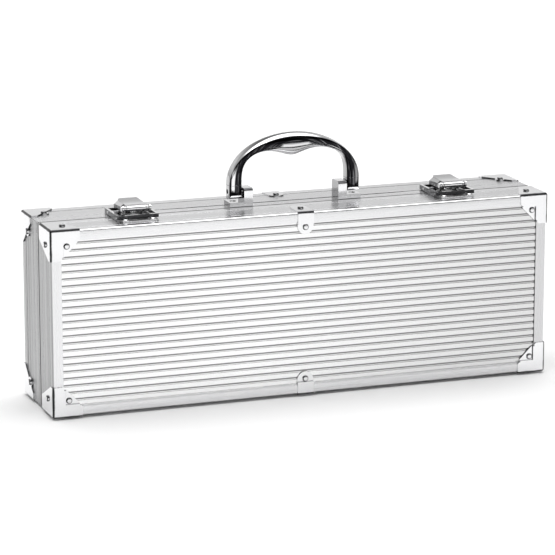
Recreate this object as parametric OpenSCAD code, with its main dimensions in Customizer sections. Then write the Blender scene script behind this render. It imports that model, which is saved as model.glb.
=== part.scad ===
// Poker chip case: a slim carrying case with extruded frame rails, ribbed
// panels, pressed corner brackets, two draw latches and a folding handle.
// It stands on its hinge side. X runs along the case, -Y is the lid side,
// +Y is the base side, +Z is up. The origin is on the floor plane under the
// centre of the case. All sizes are in millimetres.

/* [Case] */
// Length of the frame, without brackets
frame_w = 398; // [380:1:420]
// Height of the frame as the case stands, without brackets
frame_h = 141; // [139:1:150]
// Depth of the lid half
lid_d = 34; // [34:0.5:38]
// Depth of the base half
base_d = 45; // [45:0.5:50]
// Gap left between the two rims when closed
seam_gap = 0.6; // [0.4:0.1:0.8]

/* [Frame rails] */
// Wall thickness of the extrusion
wall_t = 1.6; // [1.4:0.1:1.8]
// Width of the flange that holds the panel
flange_w = 8; // [7.5:0.25:8.5]
// Thickness of the flange
flange_t = 1.5; // [1.3:0.1:1.7]
// Radius of the long outer edge
edge_r = 1.5; // [1:0.25:1.5]

/* [Panels] */
// Distance from one groove to the next
rib_pitch = 5.4; // [5.3:0.02:5.5]
// Width of a groove at its mouth
rib_gap = 2.0; // [1.6:0.1:2.4]
// Depth of a groove
rib_depth = 0.55; // [0.3:0.05:0.6]
// Thickness of the ribbed skin
skin_t = 1.0; // [0.9:0.05:1.05]
// Thickness of the board behind the skin
board_t = 2.8; // [2.4:0.1:2.8]

/* [Brackets and rivets] */
// Sheet thickness of the corner brackets
bracket_t = 1.0; // [0.8:0.1:1.2]
// Sheet thickness of the centre clips
clip_t = 0.8; // [0.6:0.1:0.8]
// Leg length of a corner bracket along the edges
bracket_leg = 22; // [21:0.5:24]
// Height of a rivet head
rivet_h = 1.3; // [1.2:0.05:1.4]
// Radius of a rivet head
rivet_r = 2.4; // [2.2:0.1:2.5]
// Width of a centre clip
clip_w = 13; // [12:0.5:14]

/* [Latches] */
// Distance of each latch from the middle of the case
latch_x = 128; // [115:1:133]
// Offset of the two latches along the case
latch_dx = 1.1; // [0:0.1:3]
// Width of the latch hook frame
hook_w = 32.6; // [32:0.2:33.4]

/* [Handle] */
// Offset of the handle along the case
handle_x = 4.8; // [-5:0.2:5]
// Half width of the handle arch, outside
arch_a = 53; // [52.5:0.5:54]
// Height of the arch above the top of its legs, outside
arch_b = 37.7; // [36.7:1:40.7]
// Depth of the handle at the grip
grip_d = 15; // [14:0.5:16]

/* [Hinges] */
// Distance of each hinge from the middle of the case
hinge_x = 120; // [90:1:140]
// Length of a hinge
hinge_l = 44; // [40:1:50]

/* [Tray] */
// Radius of a chip row
row_r = 20.4; // [20:0.1:20.6]
// Distance between chip rows
row_p = 43; // [42.6:0.1:43.2]

/* [Hidden] */

xw = frame_w / 2;                       // half length of the frame
hh = frame_h / 2;                       // half height of the frame
z0 = bracket_t + rivet_h;               // underside of the frame: the lowest rivet heads touch the floor
zt = z0 + frame_h;                      // top of the frame
zc = z0 + hh;                           // middle of the frame
yd = (lid_d + base_d) / 2;              // half depth of the closed case
ys = -yd + lid_d;                       // seam plane
lv = lid_d - seam_gap / 2;              // depth of the lid wall
bv = base_d - seam_gap / 2;             // depth of the base wall
ch = flange_t + 0.05 + skin_t + 0.05 + board_t + 0.05;  // depth of the panel channel
it = 1.2;                               // thickness of the inner flange and rim webs
lip_in = 7.2;                           // inner face of the lid rim lip
lid_web = lid_d - 6;                    // start of the lid rim web
base_web = base_d - 4;                  // start of the base rim web
tongue = base_d + 2.4;                  // tip of the base tongue
co = 12;                                // corner rivet distance from the frame's outer faces
lid_rv = 12;                            // lid side rivets, distance from the front face
base_rv = 18;                           // base side rivets, distance from the back face
gap = 0.04;                             // hairline at mitres

steel = "silver";
alu = "gainsboro";

// ---------- general helpers ----------
function arc_pts(cx, cy, r, a0, a1, n) =
    [for (i = [0:n]) let (a = a0 + (a1 - a0) * i / n) [cx + r * cos(a), cy + r * sin(a)]];

// a small square-cut line in the outer wall
function notch(v, w, d) = [[0, v + w / 2], [d, v + w / 2], [d, v - w / 2], [0, v - w / 2]];

module along_x(x0, l) translate([x0, 0, 0]) rotate([90, 0, 90]) linear_extrude(l) children();
module along_y(y0, l) translate([0, y0 + l, 0]) rotate([90, 0, 0]) linear_extrude(l) children();
module rod_x(x0, l, y, z, r) translate([x0, y, z]) rotate([0, 90, 0]) cylinder(h = l, r = r, $fn = 48);
module rod_y(x, y0, l, z, r) translate([x, y0, z]) rotate([-90, 0, 0]) cylinder(h = l, r = r, $fn = 48);
module rod_z(x, y, z0_, l, r) translate([x, y, z0_]) cylinder(h = l, r = r, $fn = 48);

// rivet with a domed head above z = 0 and its formed tail below
module rivet(len, r = rivet_r, h = rivet_h, sr = 1.5, tail = 0.5)
    rotate_extrude($fn = 48)
        polygon([[0, h], [r * 0.6, h], [r * 0.8, h * 0.84], [r * 0.94, h * 0.52], [r, h * 0.12], [r, 0.02],
                 [sr, 0.02], [sr, -len], [sr + 0.5, -len], [sr + 0.5, -len - tail], [0, -len - tail]]);

module on_top(x, y, h) translate([x, y, zt + h]) children();
module on_bottom(x, y, h) translate([x, y, z0 - h]) rotate([180, 0, 0]) children();
module on_side(s, y, z, h) translate([s * (xw + h), y, z]) rotate([0, s * 90, 0]) children();
module on_front(x, z, y) translate([x, y, z]) rotate([90, 0, 0]) children();
module on_back(x, z, y) translate([x, y, z]) rotate([-90, 0, 0]) children();

// the eight corners: sx left -1 / right 1, sy front -1 / back 1, sz bottom -1 / top 1
module at_corner(sx, sy, sz)
    translate([0, 0, zc]) mirror([sx > 0 ? 1 : 0, 0, 0]) mirror([0, sy > 0 ? 1 : 0, 0])
        mirror([0, 0, sz > 0 ? 1 : 0]) translate([-xw, -yd, -hh]) children();

// ---------- frame rails ----------
flange_pts = concat(arc_pts(edge_r, edge_r, edge_r, 180, 270, 6),
    [[5.6, 0], [flange_w, 0.6], [flange_w, flange_t], [wall_t, flange_t], [wall_t, ch],
     [flange_w, ch], [flange_w, ch + it], [wall_t, ch + it]]);

lid_profile = concat([[0.5, lv], [0, lv - 0.5]], notch(lid_d - 8.5, 0.7, 0.3), notch(6.5, 0.7, 0.3), flange_pts,
    [[wall_t, lid_web], [lip_in, lid_web], [lip_in, lv - 0.3], [lip_in - 0.3, lv], [6.3, lv], [6, lv - 0.3],
     [6, lid_web + it], [wall_t, lid_web + it], [wall_t, lv]]);

base_profile = concat([[0.5, bv], [0, bv - 0.5]], notch(base_d - 4.2, 0.8, 0.4), notch(base_d - 13, 0.8, 0.4),
    notch(10.5, 1.3, 0.8), flange_pts,
    [[wall_t, base_web], [4.7, base_web], [4.7, tongue - 0.3], [4.4, tongue], [3.8, tongue], [3.5, tongue - 0.3],
     [3.5, base_web + it], [wall_t, base_web + it], [wall_t, bv]]);

function ymap(side, v) = side < 0 ? -yd + v : yd - v;

module mitre_x(s) {
    m = 12;
    ze = s > 0 ? zt : z0;
    zi = ze - s * m;
    along_y(-80, 160) polygon([[-xw + gap, ze], [xw - gap, ze], [xw - gap - m, zi], [-xw + gap + m, zi]]);
}
module mitre_z(s) {
    m = 12;
    along_y(-80, 160) polygon([[s * xw, z0 + gap], [s * xw, zt - gap],
        [s * (xw - m), zt - m - gap], [s * (xw - m), z0 + m + gap]]);
}
// rail along the length: side -1 lid, 1 base; s 1 top, -1 bottom
module rail_x(side, s) intersection() {
    along_x(-xw, 2 * xw) polygon([for (p = side < 0 ? lid_profile : base_profile)
        [ymap(side, p[1]), s > 0 ? zt - p[0] : z0 + p[0]]]);
    mitre_x(s);
}
// rail along the height: s 1 right, -1 left
module rail_z(side, s) intersection() {
    translate([0, 0, z0]) linear_extrude(frame_h)
        polygon([for (p = side < 0 ? lid_profile : base_profile) [s * (xw - p[0]), ymap(side, p[1])]]);
    mitre_z(s);
}

latch_list = [latch_dx - latch_x, latch_dx + latch_x];
hinge_list = [-hinge_x, hinge_x];
ky = -yd + 13.5;                        // keeper rivets
kd = 10.6;                              // their distance from the middle of the latch
leaf_x = [-16, 0, 16];                  // leaf rivets along a hinge
leaf_ly = ys - 8.5;
leaf_by = ys + 10;
hb_y = ys + 7.5;                        // middle of the handle brackets
hook_rx = 4.5;                          // latch base rivets
lb_y = [ys + 6.7, ys + 11.5];
hr = [38.2, 48.5];                      // handle bracket rivets

module corner_holes_z(side, s)          // through the top or bottom wall
    for (sx = [-1, 1]) rod_z(sx * (xw - co), ymap(side, side < 0 ? lid_rv : base_rv), (s > 0 ? zt : z0) - 3, 6, 1.55);

module lid_frame_top() color(alu) difference() {
    rail_x(-1, 1);
    corner_holes_z(-1, 1);
    rod_z(0, ymap(-1, lid_rv), zt - 3, 6, 1.55);
    for (lx = latch_list, d = [-kd, kd]) rod_z(lx + d, ky, zt - 3, 6, 1.55);
}
module lid_frame_bottom() color(alu) difference() {
    rail_x(-1, -1);
    corner_holes_z(-1, -1);
    rod_z(0, ymap(-1, lid_rv), z0 - 3, 6, 1.55);
    for (hx = hinge_list) {
        rod_x(hx - hinge_l / 2 - 0.6, hinge_l + 1.2, ys, z0, 2.6);
        for (d = leaf_x) rod_z(hx + d, leaf_ly, z0 - 3, 6, 1.25);
    }
}
module lid_frame_side(s) color(alu) difference() {
    rail_z(-1, s);
    for (sz = [-1, 1]) rod_x(s * xw - 3, 6, ymap(-1, lid_rv), zc + sz * (hh - co), 1.55);
}
module base_frame_top() color(alu) difference() {
    rail_x(1, 1);
    corner_holes_z(1, 1);
    rod_z(0, ymap(1, 13), zt - 3, 6, 1.55);
    for (lx = latch_list, dx = [-hook_rx, hook_rx], y = lb_y) rod_z(lx + dx, y, zt - 3, 6, 1.25);
    for (s = [-1, 1], d = hr) rod_z(handle_x + s * d, hb_y, zt - 3, 6, 1.55);
}
module base_frame_bottom() color(alu) difference() {
    rail_x(1, -1);
    corner_holes_z(1, -1);
    rod_z(0, ymap(1, 13), z0 - 3, 6, 1.55);
    for (hx = hinge_list) {
        rod_x(hx - hinge_l / 2 - 0.6, hinge_l + 1.2, ys, z0, 2.6);
        for (d = leaf_x) rod_z(hx + d, leaf_by, z0 - 3, 6, 1.25);
    }
}
module base_frame_side(s) color(alu) difference() {
    rail_z(1, s);
    for (sz = [-1, 1]) rod_x(s * xw - 3, 6, ymap(1, base_rv), zc + sz * (hh - co), 1.55);
}

// ---------- panels ----------
pe = 2.3;                               // panel edge inside the rails
n_rib = floor((frame_h - 2 * flange_w) / rib_pitch + 0.6);
rib_top = zt - flange_w - 1.1;          // top of the first groove
function groove(i, yo, dir) = let (z = rib_top - i * rib_pitch)
    [[yo, z], [yo + dir * rib_depth, z - 0.25], [yo + dir * rib_depth, z - rib_gap + 0.25], [yo, z - rib_gap]];

module panel_skin(side) {
    yo = ymap(side, flange_t + 0.05);
    yi = ymap(side, flange_t + 0.05 + skin_t);
    dir = -side;
    difference() {
        along_x(-xw + pe, 2 * (xw - pe))
            polygon(concat([[yi, zt - pe], [yo, zt - pe]], [for (i = [0:n_rib - 1]) each groove(i, yo, dir)],
                [[yo, z0 + pe], [yi, z0 + pe]]));
        for (sx = [-1, 1], sz = [-1, 1]) rod_y(sx * (xw - co), min(yo, yi) - 1, skin_t + 2, zc + sz * (hh - co), 1.55);
        for (sz = [-1, 1]) rod_y(0, min(yo, yi) - 1, skin_t + 2, zc + sz * (hh - 11.5), 1.55);
    }
}
module panel_board(side) {
    v0 = flange_t + 0.1 + skin_t;
    ya = min(ymap(side, v0), ymap(side, v0 + board_t));
    difference() {
        translate([-xw + pe, ya, z0 + pe]) cube([2 * (xw - pe), board_t, frame_h - 2 * pe]);
        for (sx = [-1, 1], sz = [-1, 1]) rod_y(sx * (xw - co), ya - 1, board_t + 2, zc + sz * (hh - co), 1.55);
        for (sz = [-1, 1]) rod_y(0, ya - 1, board_t + 2, zc + sz * (hh - 11.5), 1.55);
    }
}
module front_panel_skin() color("whitesmoke") panel_skin(-1);
module back_panel_skin() color("whitesmoke") panel_skin(1);
module front_panel_board() color("burlywood") panel_board(-1);
module back_panel_board() color("burlywood") panel_board(1);

// ---------- corner brackets ----------
// Local frame: the corner of the rails is at the origin and the case fills
// the octant of positive x, y and z; y is the depth of the case.
module rounded_corner(l, r) {
    translate([r, r, 0]) cube([l - r, l - r, l]);
    translate([r, 0, r]) cube([l - r, l, l - r]);
    translate([0, r, r]) cube([l, l - r, l - r]);
    rod_x(r, l - r, r, r, r);
    rod_y(r, r, l - r, r, r);
    rod_z(r, r, r, l - r, r);
    translate([r, r, r]) sphere(r = r, $fn = 48);
}
module corner_bracket(is_lid) {
    t = bracket_t;
    a = bracket_leg;
    rv = is_lid ? lid_rv : base_rv;
    az = a + 0.8;                       // the upright legs are a little longer
    tab = flange_w + 0.05;
    function wing(l) = is_lid ? [[-t, -t], [l, -t], [l, 4], [11, 28.5], [-t, 28.5]] : [[-t, -t], [l, -t], [l, 5], [5, 25.5], [-t, 25.5]];
    difference() {
        union() {
            intersection() {
                translate([-t, -t, -t]) rounded_corner(45, 2);
                difference() {
                    union() {
                        // leg plates on the face of the flange
                        along_y(-t, 3 + t) union() {
                            polygon([[-t, -t], [a, -t], [a, tab - 1], [a - 1, tab], [20, tab], [20, tab + 1], [tab + 1, tab + 1],
                                     [tab + 1, 20], [tab, 20], [tab, az - 1], [tab - 1, az], [-t, az]]);
                        }
                        // wings on the two walls
                        translate([0, 0, -t]) linear_extrude(3 + t) union() {
                            polygon(wing(a));
                            translate([co, rv]) circle(r = 4, $fn = 48);
                        }
                        mirror([1, 0, 0]) rotate([0, -90, 0]) translate([0, 0, -t]) linear_extrude(3 + t) union() {
                            polygon(wing(az));
                            translate([co, rv]) circle(r = 4, $fn = 48);
                        }
                    }
                    cube([60, 60, 60]);
                }
            }
            // stepped tab that reaches down onto the panel
            along_y(-t, t + flange_t + 0.03) polygon([[tab, tab], [20, tab], [20, tab + 1], [tab + 1, tab + 1], [tab + 1, 20], [tab, 20]]);
            along_y(flange_t + 0.03 - t, t) union() {
                polygon([[tab, tab], [20, tab], [20, tab + 2], [tab + 2, 20], [tab, 20]]);
                translate([co, co]) circle(r = 4, $fn = 48);
            }
        }
        rod_y(co, -3, 8, co, 1.55);
        rod_z(co, rv, -3, 6, 1.55);
        rod_x(-3, 6, rv, co, 1.55);
    }
}
module lid_corner(sx, sz) color(steel) at_corner(sx, -1, sz) corner_bracket(true);
module base_corner(sx, sz) color(steel) at_corner(sx, 1, sz) corner_bracket(false);

module corner_rivets(side) {
    rv = side < 0 ? lid_rv : base_rv;
    t = bracket_t;
    for (sx = [-1, 1], sz = [-1, 1]) {
        z = zc + sz * (hh - co);
        x = sx * (xw - co);
        if (sz > 0) on_top(x, ymap(side, rv), t) rivet(t + wall_t);
        else on_bottom(x, ymap(side, rv), t) rivet(t + wall_t);
        on_side(sx, ymap(side, rv), z, t) rivet(t + wall_t);
        ty = ymap(side, flange_t + 0.03 - t);
        if (side < 0) on_front(x, z, ty) rivet(t + 0.02 + ch - flange_t - 0.05);
        else on_back(x, z, ty) rivet(t + 0.02 + ch - flange_t - 0.05);
    }
}
module lid_corner_rivets() color(steel) corner_rivets(-1);
module base_corner_rivets() color(steel) corner_rivets(1);

// ---------- centre clips ----------
// Local frame as for a corner bracket, with x across the clip.
module edge_clip(rv, len) {
    t = clip_t;
    w = clip_w / 2;
    tab = flange_w + 0.05;
    difference() {
        union() {
            // rounded bend over the long edge
            intersection() {
                union() {
                    translate([-w, 2 - t, -t]) cube([2 * w, 40, t + 3]);
                    translate([-w, -t, 2 - t]) cube([2 * w, t + 3, 40]);
                    rod_x(-w, 2 * w, 2 - t, 2 - t, 2);
                }
                union() {
                    translate([0, 0, -t]) linear_extrude(t) union() {
                        translate([-w, -t]) square([2 * w, len - w + t]);
                        intersection() {
                            translate([0, len - w]) circle(r = w, $fn = 48);
                            translate([-w, 0]) square([2 * w, 60]);
                        }
                    }
                    translate([-w, -t, -t]) cube([2 * w, t, tab + 1 + t]);
                    translate([-w, -t, -t]) cube([2 * w, t + 1.5, t]);
                }
            }
            // step and rounded tab on the panel
            translate([-w, -t, tab]) cube([2 * w, t + flange_t + 0.03, 1]);
            along_y(flange_t + 0.03 - t, t) union() {
                translate([-w, tab]) square([2 * w, 11.5 - tab]);
                intersection() {
                    translate([0, 10.5]) circle(r = w, $fn = 48);
                    translate([-w, 10.5]) square([2 * w, 20]);
                }
            }
        }
        translate([-30, 0, 0]) cube([60, 60, tab]);
        rod_y(0, -3, 8, 11.5, 1.55);
        rod_z(0, rv, -3, 6, 1.55);
    }
}
module place_clip(sy, sz) translate([0, 0, zc]) mirror([0, sy > 0 ? 1 : 0, 0]) mirror([0, 0, sz > 0 ? 1 : 0])
    translate([0, -yd, -hh]) children();
module lid_clip_top() color(steel) place_clip(-1, 1) edge_clip(lid_rv, 23);
module lid_clip_bottom() color(steel) place_clip(-1, -1) edge_clip(lid_rv, 23);
module base_clip_top() color(steel) place_clip(1, 1) edge_clip(13, 18);
module base_clip_bottom() color(steel) place_clip(1, -1) edge_clip(13, 18);
module clip_rivets(side, rv) {
    t = clip_t;
    for (sz = [-1, 1]) {
        if (sz > 0) on_top(0, ymap(side, rv), t) rivet(t + wall_t, h = 1.2);
        else on_bottom(0, ymap(side, rv), t) rivet(t + wall_t, h = 1.2);
        ty = ymap(side, flange_t + 0.03 - t);
        z = zc + sz * (hh - 11.5);
        if (side < 0) on_front(0, z, ty) rivet(t + 0.02 + ch - flange_t - 0.05, h = 1.2);
        else on_back(0, z, ty) rivet(t + 0.02 + ch - flange_t - 0.05, h = 1.2);
    }
}
module lid_clip_rivets() color(steel) clip_rivets(-1, lid_rv);
module base_clip_rivets() color(steel) clip_rivets(1, 13);

// ---------- chip tray and lid liner ----------
tray_t = 1.5;                           // tray wall
tray_y = yd - base_d + 9.5;             // front plane of the tray
tray_bot = yd - ch - it - 0.1;          // lowest plane of the tray
row_y = tray_bot - tray_t - row_r;      // axis of the chip rows
tx = xw - 5.4;                          // half length of the tray
pocket_x0 = tx - 47;                    // wall between rows and card pocket
row_zs = [zc - row_p, zc, zc + row_p];

// U-shaped section of the rows from the plane y0 down, open toward -Y
module row_outline(r, y0) intersection() {
    union() for (z = row_zs) {
        translate([row_y, z]) circle(r = r, $fn = 64);
        translate([y0, z - r]) square([row_y - y0, 2 * r]);
    }
    translate([y0, z0]) square([100, frame_h]);
}
module chip_tray() color("dimgray") difference() {
    union() {
        along_x(-tx, pocket_x0 + tx + 1) row_outline(row_r + tray_t, tray_y);
        // rim that rests inside the frame
        translate([-tx, tray_y, z0 + 5.4]) cube([2 * tx, tray_t, frame_h - 10.8]);
        translate([pocket_x0, tray_y, z0 + 5.4]) cube([tx - pocket_x0, tray_bot - tray_y, frame_h - 10.8]);
    }
    along_x(-tx + tray_t, pocket_x0 + tx - tray_t) row_outline(row_r, tray_y - 5);
    translate([pocket_x0 + tray_t, tray_y - 5, z0 + 5.4 + tray_t])
        cube([tx - pocket_x0 - 2 * tray_t, tray_bot - tray_y + 5 - tray_t, frame_h - 10.8 - 2 * tray_t]);
}
module lid_foam() color("slategray")
    translate([-xw + 8.4, -yd + ch + 0.6, z0 + 8.4]) cube([2 * (xw - 8.4), lid_web - ch - 0.6, frame_h - 16.8]);

// ---------- hinges ----------
kn = hinge_l / 5;                       // knuckle length
module hinge_leaf(hx, is_lid) color(steel) {
    s = is_lid ? -1 : 1;
    own = is_lid ? [1, 3] : [0, 2, 4];
    y_in = ys + s * 2.8;
    y_out = ys + s * (is_lid ? 12.5 : 14);
    ry = is_lid ? leaf_ly : leaf_by;
    difference() {
        union() {
            translate([hx - hinge_l / 2, min(y_in, y_out), z0 - 0.82]) cube([hinge_l, abs(y_out - y_in), 0.8]);
            for (i = own) {
                translate([hx - hinge_l / 2 + i * kn + 0.2, min(ys, y_in), z0 - 0.82]) cube([kn - 0.4, 2.8, 0.8]);
                rod_x(hx - hinge_l / 2 + i * kn + 0.2, kn - 0.4, ys, z0, 2.2);
            }
        }
        rod_x(hx - hinge_l / 2 - 1, hinge_l + 2, ys, z0, 1.25);
        for (d = leaf_x) rod_z(hx + d, ry, z0 - 3, 6, 1.25);
    }
}
module hinge_pins() color(steel) for (hx = hinge_list) rod_x(hx - hinge_l / 2, hinge_l, ys, z0, 1.2);
module leaf_rivets(y) for (hx = hinge_list, d = leaf_x)
    on_bottom(hx + d, y, 0.82) rivet(0.82 + wall_t, r = 2, h = 1.1, sr = 1.2);
module hinge_lid_rivets() color(steel) leaf_rivets(leaf_ly);
module hinge_base_rivets() color(steel) leaf_rivets(leaf_by);

// ---------- handle ----------
hp = 11.2;                              // handle pivot above the case top
arch_z = 16.3;                           // top of the straight legs above the case top
in_a = 42.4;                            // inner arch half width
in_b = 26;                              // inner arch height
leg_d = 12;                             // depth of a leg
n_st = 48;                              // stations along the arch
n_q = 9;                                // points along half a section

function sup(a, b, n, f) = pow(pow(abs(cos(f)) / a, n) + pow(abs(sin(f)) / b, n), -1 / n);
function bulge(x) = abs(x + 3) < 28 ? 5.8 * (0.5 + 0.5 * cos(180 * (x + 3) / 28)) : 0;
function r_out(f) = sup(arch_a, arch_b, 2, f);
function r_in(f) = let (r = sup(in_a, in_b, 3.4, f)) r - bulge(r * cos(f)) * sin(f);
function depth(f) = leg_d + (grip_d - leg_d) * pow(sin(f), 2);
function spow(v, e) = sign(v) * pow(abs(v), e);
// squareness of the section: 1 is an ellipse, smaller is squarer
function sq(f) = 0.55 + 0.31 * pow(sin(f), 2);
// one point of the section at station angle f: k runs across from the inner
// side (-1) to the outer side (1), s is the side
function sec_pt(f, q) = let (ro = r_out(f), ri = r_in(f), rm = (ro + ri) / 2, t = (ro - ri) / 2,
        r = rm + t * spow(cos(q), sq(f)), y = depth(f) / 2 * spow(sin(q), sq(f)))
    [handle_x + r * cos(f), hb_y + y, zt + arch_z + r * sin(f)];
split = 98;                             // section angle of the joint line
module swept(q0, q1) {
    m = n_q * 2 + 1;
    pts = [for (i = [0:n_st]) let (f = 180 - 180 * i / n_st) for (j = [0:m - 1]) sec_pt(f, q0 + (q1 - q0) * j / (m - 1))];
    polyhedron(points = pts, faces = concat(
        [[for (j = [0:m - 1]) j]],
        [[for (j = [m - 1:-1:0]) n_st * m + j]],
        [for (i = [0:n_st - 1], j = [0:m - 1]) let (k = (j + 1) % m, a = i * m + j, b = i * m + k) each
            [[a, b + m, b], [a, a + m, b + m]]]), convexity = 8);
}
module handle_shell() color(steel) swept(-split, split);
module handle_grip() color("lightgray") swept(split + 4, 360 - split - 4);
module handle_end(s) color(steel) {
    xc = handle_x + s * (arch_a + in_a) / 2;
    rw = (arch_a - in_a) / 2;
    difference() {
        intersection() {
            // the leg's own section, carried on down past the pivot
            translate([xc, hb_y, zt]) linear_extrude(arch_z - 0.1)
                polygon([for (q = [0:10:350]) [rw * spow(cos(q), sq(0)), leg_d / 2 * spow(sin(q), sq(0))]]);
            union() {
                rod_x(xc - 10, 20, hb_y, zt + hp, leg_d / 2);
                translate([xc - 10, hb_y - 10, zt + hp]) cube([20, 20, 20]);
            }
        }
        rod_x(xc - 10, 20, hb_y, zt + hp, 1.85);
    }
}
post_i = 34.7;                          // inner face of a bracket post
post_w = 7.05;                          // width of a post
foot_h = 3.6;                           // height of a bracket foot
module handle_bracket(s) color(steel) translate([handle_x, hb_y, zt]) mirror([s < 0 ? 1 : 0, 0, 0]) difference() {
    union() {
        // foot
        translate([post_i, -7, 0]) cube([18.5, 14, foot_h]);
        // post with rounded shoulders
        translate([post_i, -7, 0]) cube([post_w, 14, 11.6]);
        translate([post_i, -4.5, 0]) cube([post_w, 9, 14.1]);
        rod_x(post_i, post_w, -4.5, 11.6, 2.5);
        rod_x(post_i, post_w, 4.5, 11.6, 2.5);
    }
    rod_x(post_i + 1.5, 12, 0, hp, 1.8);
    for (d = hr) rod_z(d, 0, -1, 8, 1.55);
    rod_z(hr[1], 0, 2.1, 3, 2.6);
    rod_z(hr[0], 0, 2.1, 3.5, 2.6);
}
module handle_bracket_rivets() color(steel) for (s = [-1, 1], d = hr)
    translate([handle_x + s * d, hb_y, zt]) rotate_extrude($fn = 48)
        polygon([[0, 3], [2.5, 3], [2.5, 2.12], [1.5, 2.12], [1.5, -wall_t], [2, -wall_t], [2, -wall_t - 0.5], [0, -wall_t - 0.5]]);
module handle_pins() color(steel) for (s = [-1, 1]) {
    a = handle_x + s * (post_i + 1.5);
    b = handle_x + s * ((arch_a + in_a) / 2 + 3.6);
    rod_x(min(a, b), abs(b - a), hb_y, zt + hp, 1.8);
}

// ---------- latches ----------
// Local frame of a latch: x across, y and z as in the case, z = 0 on the case top.
p1 = [ys - 12, 8];                      // lever pivot (y, z)
p2 = [ys + 6.5, 2.3];                   // hook pivot (y, z)
hk = hook_w / 2;
hook_y0 = -yd + 16;
hook_y1 = ys + 15.5;
module at_latch(lx) translate([lx, 0, zt]) children();

module latch_base(lx) color(steel) at_latch(lx) difference() {
    union() {
        translate([-9.1, ys + 0.6, 0.02]) cube([18.2, 13.3, 1]);
        // two arms that carry the pivot out over the rim of the lid
        for (s = [-1, 1]) along_x(s * 8.5 - 0.6, 1.2) union() {
            translate([p1[0], p1[1]]) circle(r = 1.8, $fn = 48);
            polygon([[ys + 0.6, 0.02], [ys + 9, 0.02], [ys + 9, 1.02], [ys + 4.6, 2.4], [p1[0] + 0.6, p1[1] + 1.65],
                     [p1[0] - 0.6, p1[1] - 1.65], [ys + 0.6, 1.6]]);
        }
    }
    rod_x(-12, 24, p1[0], p1[1], 1.2);
    for (dx = [-hook_rx, hook_rx], y = lb_y) rod_z(dx, y, -2, 5, 1.25);
}
module latch_base_rivets() color(steel) for (lx = latch_list, dx = [-hook_rx, hook_rx], y = lb_y)
    on_top(lx + dx, y, 1.02) rivet(1.02 + wall_t, r = 2, h = 1, sr = 1.2);
module latch_pivot_pins() color(steel) for (lx = latch_list) {
    rod_x(lx - 11.2, 22.4, p1[0], zt + p1[1], 1.2);
    for (x = [-11.5, 10.95]) rod_x(lx + x, 0.55, p1[0], zt + p1[1], 1.9);
}

lever_end = ys + 9.5;                   // free end of the lever
module latch_lever(lx) color(steel) at_latch(lx) difference() {
    union() {
        for (s = [-1, 1]) {
            // cheeks
            along_x(s * 10.35 - 0.55, 1.1) union() {
                translate([p1[0], p1[1]]) circle(r = 2.3, $fn = 48);
                translate([p2[0], p2[1]]) circle(r = 1.7, $fn = 48);
                polygon([[p1[0] - 1.2, p1[1] - 1.8], [p2[0] - 0.8, p2[1] - 1.5], [p2[0] + 1.2, p2[1] - 1.2],
                         [lever_end - 1, 5.6], [lever_end - 1.6, 8.4], [p1[0], p1[1] + 1.4]]);
            }
            // shoulders between the cheeks and the raised plate
            along_y(p1[0] + 5, lever_end - 2 - p1[0] - 5)
                polygon([[s * 10.9, 7.2], [s * 10.9, 8.4], [s * 8.2, 10.6], [s * 7.4, 10.6], [s * 7.4, 10], [s * 9.8, 7.8], [s * 9.8, 7.2]]);
        }
        // raised plate with a turned-up finger end
        intersection() {
            along_x(-8.2, 16.4) polygon([[p1[0], p1[1] + 1.95], [p1[0], p1[1] + 2.8], [lever_end - 3, 11], [lever_end - 0.3, 11.9],
                [lever_end, 11.5], [lever_end - 2.6, 10.15]]);
            linear_extrude(20) union() {
                translate([-8.2, p1[0] - 1]) square([16.4, lever_end - p1[0] - 2]);
                translate([-5.2, lever_end - 4]) square([10.4, 4]);
                for (s = [-1, 1]) translate([s * 5.2, lever_end - 3]) circle(r = 3, $fn = 48);
            }
        }
        // barrel between the arms
        rod_x(-7.4, 14.8, p1[0], p1[1], 2.1);
    }
    rod_x(-12, 24, p1[0], p1[1], 1.25);
    for (s = [-1, 1]) rod_x(s * 10.5 - 1.5, 3, p2[0], p2[1], 0.9);
}
module hook_pins(lx) color(steel) for (s = [-1, 1])
    rod_x(lx + (s > 0 ? 9.8 : -hk - 0.3), hk + 0.3 - 9.8, p2[0], zt + p2[1], 0.9);
module latch_hook(lx) color(steel) at_latch(lx) difference() {
    union() {
        difference() {
            // tray-shaped pressing, open below
            translate([0, 0, 0.5]) linear_extrude(3.7) union() {
                translate([-hk + 1.3, hook_y0]) square([2 * hk - 2.6, hook_y1 - hook_y0]);
                translate([-hk, hook_y0 + 1.3]) square([2 * hk, hook_y1 - hook_y0 - 2.6]);
                for (s = [-1, 1], y = [hook_y0 + 1.3, hook_y1 - 1.3]) translate([s * (hk - 1.3), y]) circle(r = 1.3, $fn = 48);
            }
            translate([-hk + 1, hook_y0 + 1, 0]) cube([2 * hk - 2, hook_y1 - hook_y0 - 2, 3.2]);
            translate([-hk - 1, hook_y0 - 1, -1]) cube([2 * hk + 2, 4.5, 2.3]);
        }
    }
    // opening for the lever
    translate([-hk + 2.1, hook_y0 + 2.1, 0]) cube([2 * hk - 4.2, hook_y1 - hook_y0 - 5.4, 8]);
    for (s = [-1, 1]) rod_x(s * hk - 2, 4, p2[0], p2[1], 0.95);
}
module latch_keeper(lx) color(steel) at_latch(lx) difference() {
    union() {
        translate([-13.3, -yd + 10.7, 0.02]) cube([26.6, lid_d - 10.7 - 1.2, 0.8]);
        along_x(-8, 16) polygon([[hook_y0 + 0.1, 0.6], [hook_y0 + 0.9, 1.0], [hook_y0 + 2.4, 1.0], [hook_y0 + 4, 0.6]]);
    }
    for (d = [-kd, kd]) rod_z(d, ky, -1, 4, 1.55);
}
module latch_keeper_rivets() color(steel) for (lx = latch_list, d = [-kd, kd])
    on_top(lx + d, ky, 0.82) rivet(0.82 + wall_t);

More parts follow.
